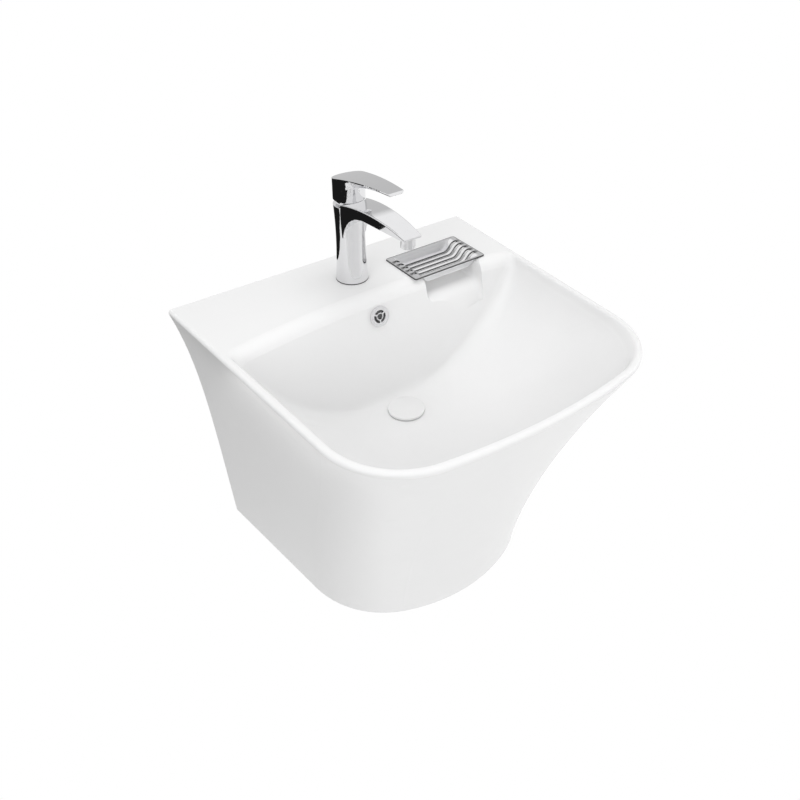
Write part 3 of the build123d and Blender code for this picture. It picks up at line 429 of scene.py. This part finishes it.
class BASIN_PG_lever(bpy.types.PropertyGroup):
    """Sizes of the lever that is drawn anew"""

    tap_place: bpy.props.FloatVectorProperty(
        name="Tap", description="Middle of the tap's column on the deck",
        subtype="TRANSLATION", size=3, default=(0.0, -0.069, 0.095),
    )
    hub_radius: bpy.props.FloatProperty(
        name="Hub radius", description="Radius of the lever's hub", subtype="DISTANCE", default=0.022,
    )
    crest_reach: bpy.props.FloatVectorProperty(
        name="Crest reach", description="Back, middle and tip of the top face, from the column's middle",
        subtype="XYZ", size=3, default=(-0.022, 0.04, 0.109),
    )
    crest_height: bpy.props.FloatVectorProperty(
        name="Crest height", description="Heights of these places above the deck",
        subtype="XYZ", size=3, default=(0.146, 0.16, 0.166),
    )
    edge: bpy.props.FloatProperty(
        name="Edge", description="Height of the rounded upper edge", subtype="DISTANCE", default=0.0013,
    )
    lean: bpy.props.FloatProperty(
        name="Lean", description="How far the sides lean in", subtype="ANGLE", default=math.radians(44.0),
    )
    fade: bpy.props.FloatProperty(
        name="Fade", description="Length over which the sides begin to lean",
        subtype="DISTANCE", default=0.01,
    )
    narrowest: bpy.props.FloatProperty(
        name="Narrowest", description="Least share of the width that the lean leaves",
        subtype="FACTOR", default=0.2, min=0.0, max=1.0,
    )
    step: bpy.props.FloatProperty(
        name="Step", description="Longest edge of the mesh", subtype="DISTANCE", default=0.003,
    )
    crease: bpy.props.FloatProperty(
        name="Crease", description="Angle from which an edge is drawn sharp",
        subtype="ANGLE", default=math.radians(28.0),
    )


class BASIN_PG_studio(bpy.types.PropertyGroup):
    """Camera and light of the studio"""

    eye: bpy.props.FloatVectorProperty(
        name="Camera", description="Place of the camera",
        subtype="TRANSLATION", size=3, default=(-0.5464, -0.9428, 0.6711),
    )
    azimuth: bpy.props.FloatProperty(
        name="Azimuth", description="Turn of the camera round the basin",
        subtype="ANGLE", default=math.radians(-35.804),
    )
    elevation: bpy.props.FloatProperty(
        name="Elevation", description="Height angle of the camera",
        subtype="ANGLE", default=math.radians(37.819),
    )
    lens: bpy.props.FloatProperty(
        name="Lens", description="Focal length for the sensor", subtype="DISTANCE_CAMERA", default=36.765,
    )
    sensor: bpy.props.FloatProperty(
        name="Sensor", description="Width of the camera's sensor", subtype="DISTANCE_CAMERA", default=36.0,
    )
    hang: bpy.props.FloatProperty(
        name="Height above floor", description="How high the basin hangs", subtype="DISTANCE", default=0.42,
    )
    floor_reach: bpy.props.FloatProperty(
        name="Floor", description="From the floor's middle to its sides", subtype="DISTANCE", default=6.0,
    )
    dark_tone: bpy.props.FloatProperty(
        name="Dark floor", description="Tone in mirrors of the floor to the left and behind",
        subtype="FACTOR", default=0.012, min=0.0, max=1.0,
    )
    dark_left: bpy.props.FloatProperty(
        name="Dark from left", description="Where the floor on the left begins to darken",
        subtype="DISTANCE", default=-0.2,
    )
    dark_behind: bpy.props.FloatProperty(
        name="Dark from behind", description="Where the floor behind begins to darken",
        subtype="DISTANCE", default=0.7,
    )
    dark_right: bpy.props.FloatProperty(
        name="Dark until", description="How far to the right the dark floor behind runs",
        subtype="DISTANCE", default=0.6,
    )
    sky: bpy.props.FloatProperty(
        name="Sky", description="Strength of the light from all round", default=0.58, min=0.0,
    )
    back_wall: bpy.props.FloatProperty(
        name="Back wall", description="Tone of the wall behind the basin in mirrors",
        subtype="FACTOR", default=0.6, min=0.0, max=1.0,
    )
    wall_height: bpy.props.FloatProperty(
        name="Wall height", description="Sine of the angle up to which mirrors see the back wall",
        subtype="FACTOR", default=0.46, min=0.0, max=1.0,
    )
    aim: bpy.props.FloatVectorProperty(
        name="Aim", description="Place that the lamps face",
        subtype="TRANSLATION", size=3, default=(0.0, -0.2, 0.0),
    )
    overhead: bpy.props.FloatProperty(
        name="Overhead lamp", description="Power of the lamp above",
        subtype="POWER", default=18.0, min=0.0,
    )
    front: bpy.props.FloatProperty(
        name="Front lamp", description="Power of the lamp in front",
        subtype="POWER", default=11.0, min=0.0,
    )
    right: bpy.props.FloatProperty(
        name="Right lamp", description="Power of the lamp on the right",
        subtype="POWER", default=9.0, min=0.0,
    )
    left: bpy.props.FloatProperty(
        name="Left lamp", description="Power of the lamp on the left",
        subtype="POWER", default=19.0, min=0.0,
    )


def dress(slot, material):
    """Gives a material to every CAD node of a material slot."""
    dressed = [node for name, node in NODES.items() if SLOTS[name] == slot]
    if not dressed:
        raise RuntimeError(f"no node has the material slot {slot}")
    for node in dressed:
        node.data.materials.clear()
        node.data.materials.append(material)


class BASIN_OT_china(bpy.types.Operator):
    """Glaze the basin and its waste cap"""

    bl_idname = "basin.china"
    bl_label = "Glaze the China"

    def execute(self, context):
        look = context.scene.basin_finishes
        dress("china", glazed_china(look.china, look.china_gloss))
        dress("cap_white", cap_glaze(look.cap, look.china_gloss))
        return {"FINISHED"}


class BASIN_OT_metal(bpy.types.Operator):
    """Plate and polish the tap, the trims, the soap dish and the fixings"""

    bl_idname = "basin.metal"
    bl_label = "Finish the Metal"

    def execute(self, context):
        look = context.scene.basin_finishes
        dress("chrome", polished_chrome(look.chrome, look.chrome_gloss))
        dress("dish_steel", pressed_steel(look.dish, look.dish_gloss))
        dress("zinc_steel", zinc_plate(look.zinc, look.zinc_gloss))
        dress("brass", turned_brass(look.brass, look.brass_gloss))
        return {"FINISHED"}


class BASIN_OT_mouldings(bpy.types.Operator):
    """Finish the seals, the trap and the cartridges"""

    bl_idname = "basin.mouldings"
    bl_label = "Finish the Mouldings"

    def execute(self, context):
        look = context.scene.basin_finishes
        dress("rubber", moulded_rubber(look.rubber, look.rubber_gloss))
        dress("white_plastic", moulded_plastic("white_plastic", look.white, look.white_gloss))
        dress("grey_plastic", moulded_plastic("grey_plastic", look.grey, look.grey_gloss))
        return {"FINISHED"}


class BASIN_OT_lever(bpy.types.Operator):
    """Draw the lever with sides that lean in below its top face, as on a thin casting"""

    bl_idname = "basin.lever"
    bl_label = "Draw the Lever"

    def execute(self, context):
        shape = context.scene.basin_lever
        mesh = merged_copy(NODES["lever_handle"], "lever_casting", shape.step)
        points = np.empty(len(mesh.vertices) * 3)
        mesh.vertices.foreach_get("co", points)
        points = points.reshape(-1, 3)
        points[:, 0] = self.leaned(points, shape)
        mesh.vertices.foreach_set("co", points.ravel())
        mesh.update()
        mesh.shade_smooth()
        mesh.set_sharp_from_angle(angle=shape.crease)
        lever = bpy.data.objects.new("lever_casting", mesh)
        context.scene.collection.objects.link(lever)
        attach(lever, "lever")
        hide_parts("lever_handle")
        return {"FINISHED"}

    @staticmethod
    def leaned(points, shape):
        """Half width less depth below the top face times the tangent of the lean, faded in ahead of the hub.

        The top face's height is a parabola through its heights at the back, the middle and the tip.
        """
        ahead = shape.tap_place[1] - points[:, 1]
        top = np.polyval(np.polyfit(shape.crest_reach, shape.crest_height, 2), ahead) + shape.tap_place[2]
        depth = np.maximum(top - points[:, 2] - shape.edge, 0.0)
        fade = np.clip((ahead - shape.hub_radius) / shape.fade, 0.0, 1.0)
        lean = depth * fade * math.tan(shape.lean)
        half = np.abs(points[:, 0])
        return np.sign(points[:, 0]) * np.maximum(half - lean, shape.narrowest * half)


def merged_copy(node, name, step):
    """Copy of a CAD node's mesh, its loose triangles joined and its edges halved while longer than a step."""
    join_distance, sliver, rounds = 1e-6, 1e-5, 5
    mesh = bpy.data.meshes.new(name)
    work = bmesh.new()
    work.from_mesh(node.data)
    bmesh.ops.remove_doubles(work, verts=work.verts, dist=join_distance)
    for _ in range(rounds):
        long = [edge for edge in work.edges if edge.calc_length() > step]
        bmesh.ops.subdivide_edges(work, edges=long, cuts=1)
        bmesh.ops.triangulate(work, faces=work.faces)
    bmesh.ops.dissolve_degenerate(work, edges=work.edges, dist=sliver)
    bmesh.ops.triangulate(work, faces=work.faces)
    work.to_mesh(mesh)
    work.free()
    if "custom_normal" in mesh.attributes:
        mesh.attributes.remove(mesh.attributes["custom_normal"])
    mesh.materials.append(node.data.materials[0])
    return mesh


class BASIN_OT_studio(bpy.types.Operator):
    """Set up the floor, the light and the camera"""

    bl_idname = "basin.studio"
    bl_label = "Set Up the Studio"

    def execute(self, context):
        studio = context.scene.basin_studio
        scene = context.scene
        scene.view_settings.view_transform = "Standard"
        self.floor(scene, studio)
        self.world(scene, studio)
        self.lamps(scene, studio)
        self.camera(scene, studio)
        return {"FINISHED"}

    def floor(self, scene, studio):
        """Pale paper, white to the camera. Mirrors see it white too, but dark to the left and behind."""
        left_gain, behind_gain, right_gain = 4.0, 12.0, 4.0
        paper_tone = (0.8, 0.8, 0.8, 1.0)
        low, reach = CAD_BOX[0].z - studio.hang, studio.floor_reach
        corners = [(-reach, -reach, low), (reach, -reach, low), (reach, reach, low), (-reach, reach, low)]
        mesh = bpy.data.meshes.new("floor")
        mesh.from_pydata(corners, [], [(0, 1, 2, 3)])
        floor = bpy.data.objects.new("floor", mesh)
        scene.collection.objects.link(floor)
        finish = new_finish("pale_floor")
        eye, mirror = finish.rays()
        side, behind, _ = finish.parts(finish.place())
        left = (studio.dark_left - side) * left_gain
        back = ((behind - studio.dark_behind) * behind_gain).least((studio.dark_right - side) * right_gain)
        away = left.most(back).clipped()
        strength = eye + (1.0 - eye) * (1.0 - (1.0 - studio.dark_tone) * away)
        paper = finish.wire("ShaderNodeBsdfDiffuse", {}, {"Color": paper_tone})
        white = finish.wire("ShaderNodeEmission", {}, {"Color": WHITE, "Strength": strength})
        mixed = finish.wire("ShaderNodeMixShader", {}, {0: eye.most(mirror), 1: paper, 2: white})
        finish.node("ShaderNodeOutputMaterial", {}, {"Surface": mixed})
        mesh.materials.append(finish.owner)

    def world(self, scene, studio):
        """White for the camera, an even sky for matt surfaces, a tent with a grey back wall for mirrors."""
        behind_gain, height_gain = 6.0, 12.0
        scene.world = scene.world or bpy.data.worlds.new("studio")
        finish = Finish(scene.world)
        eye, mirror = finish.rays()
        _, behind, height = finish.parts(finish.wire("ShaderNodeTexCoord", output="Generated"))
        wall = (behind * behind_gain).clipped() * ((studio.wall_height - height) * height_gain).clipped()
        tent = 1.0 - (1.0 - studio.back_wall) * wall
        around = studio.sky + (tent - studio.sky) * mirror
        strength = around + (1.0 - around) * eye
        white = finish.wire("ShaderNodeBackground", {}, {"Color": WHITE, "Strength": strength})
        finish.node("ShaderNodeOutputWorld", {}, {"Surface": white})

    def lamps(self, scene, studio):
        """Soft boxes round the basin. Mirrors show the tent alone, so no lamp leaves a hard streak."""
        for name, place, size, power in (
            ("overhead", (0.2, -0.3, 2.2), 1.8, studio.overhead),
            ("front", (0.5, -2.4, 0.0), 2.0, studio.front),
            ("right", (2.2, -0.9, 0.6), 1.6, studio.right),
            ("left", (-2.0, -1.2, 1.2), 1.6, studio.left),
        ):
            lamp = bpy.data.lights.new(name, "AREA")
            lamp.shape = "SQUARE"
            lamp.size = size
            lamp.energy = power
            made = bpy.data.objects.new(name, lamp)
            made.location = place
            aim = Vector(studio.aim) - Vector(place)
            made.rotation_euler = aim.to_track_quat("-Z", "Y").to_euler()
            made.visible_glossy = False
            made.visible_camera = False
            scene.collection.objects.link(made)

    def camera(self, scene, studio):
        """Camera turned by an azimuth round the vertical and raised by an elevation, as in the photograph."""
        turn, rise = studio.azimuth, studio.elevation
        back = Vector((math.sin(turn) * math.cos(rise), -math.cos(turn) * math.cos(rise), math.sin(rise)))
        right = Vector((math.cos(turn), math.sin(turn), 0.0))
        up = back.cross(right)
        lens = bpy.data.cameras.new("photo_camera")
        lens.sensor_width = studio.sensor
        lens.lens = studio.lens
        camera = bpy.data.objects.new("photo_camera", lens)
        axes = Matrix((right, up, back)).transposed().to_4x4()
        camera.matrix_world = Matrix.Translation(studio.eye) @ axes
        scene.collection.objects.link(camera)
        scene.camera = camera


class BASIN_PT_panel(bpy.types.Panel):
    """Settings of the basin, and the steps that dress it"""

    bl_label = "Wash Basin"
    bl_idname = "BASIN_PT_panel"
    bl_space_type = "VIEW_3D"
    bl_region_type = "UI"
    bl_category = "Wash Basin"

    def draw(self, context):
        for name, group in GROUPS.items():
            box = self.layout.box()
            for setting in group.__annotations__:
                box.prop(getattr(context.scene, name), setting)
        for step in STEPS:
            self.layout.operator(step.bl_idname)


GROUPS = {
    "basin_finishes": BASIN_PG_finishes,
    "basin_lever": BASIN_PG_lever,
    "basin_studio": BASIN_PG_studio,
}
STEPS = (BASIN_OT_china, BASIN_OT_metal, BASIN_OT_mouldings, BASIN_OT_lever, BASIN_OT_studio)
CLASSES = (*GROUPS.values(), *STEPS, BASIN_PT_panel)


def register():
    for entry in CLASSES:
        bpy.utils.register_class(entry)
    for name, group in GROUPS.items():
        setattr(bpy.types.Scene, name, bpy.props.PointerProperty(type=group))


def unregister():
    for name in GROUPS:
        delattr(bpy.types.Scene, name)
    for entry in reversed(CLASSES):
        bpy.utils.unregister_class(entry)


def main():
    register()
    bpy.ops.basin.china()
    bpy.ops.basin.metal()
    bpy.ops.basin.mouldings()
    bpy.ops.basin.lever()
    bpy.ops.basin.studio()


if __name__ == "__main__":
    main()
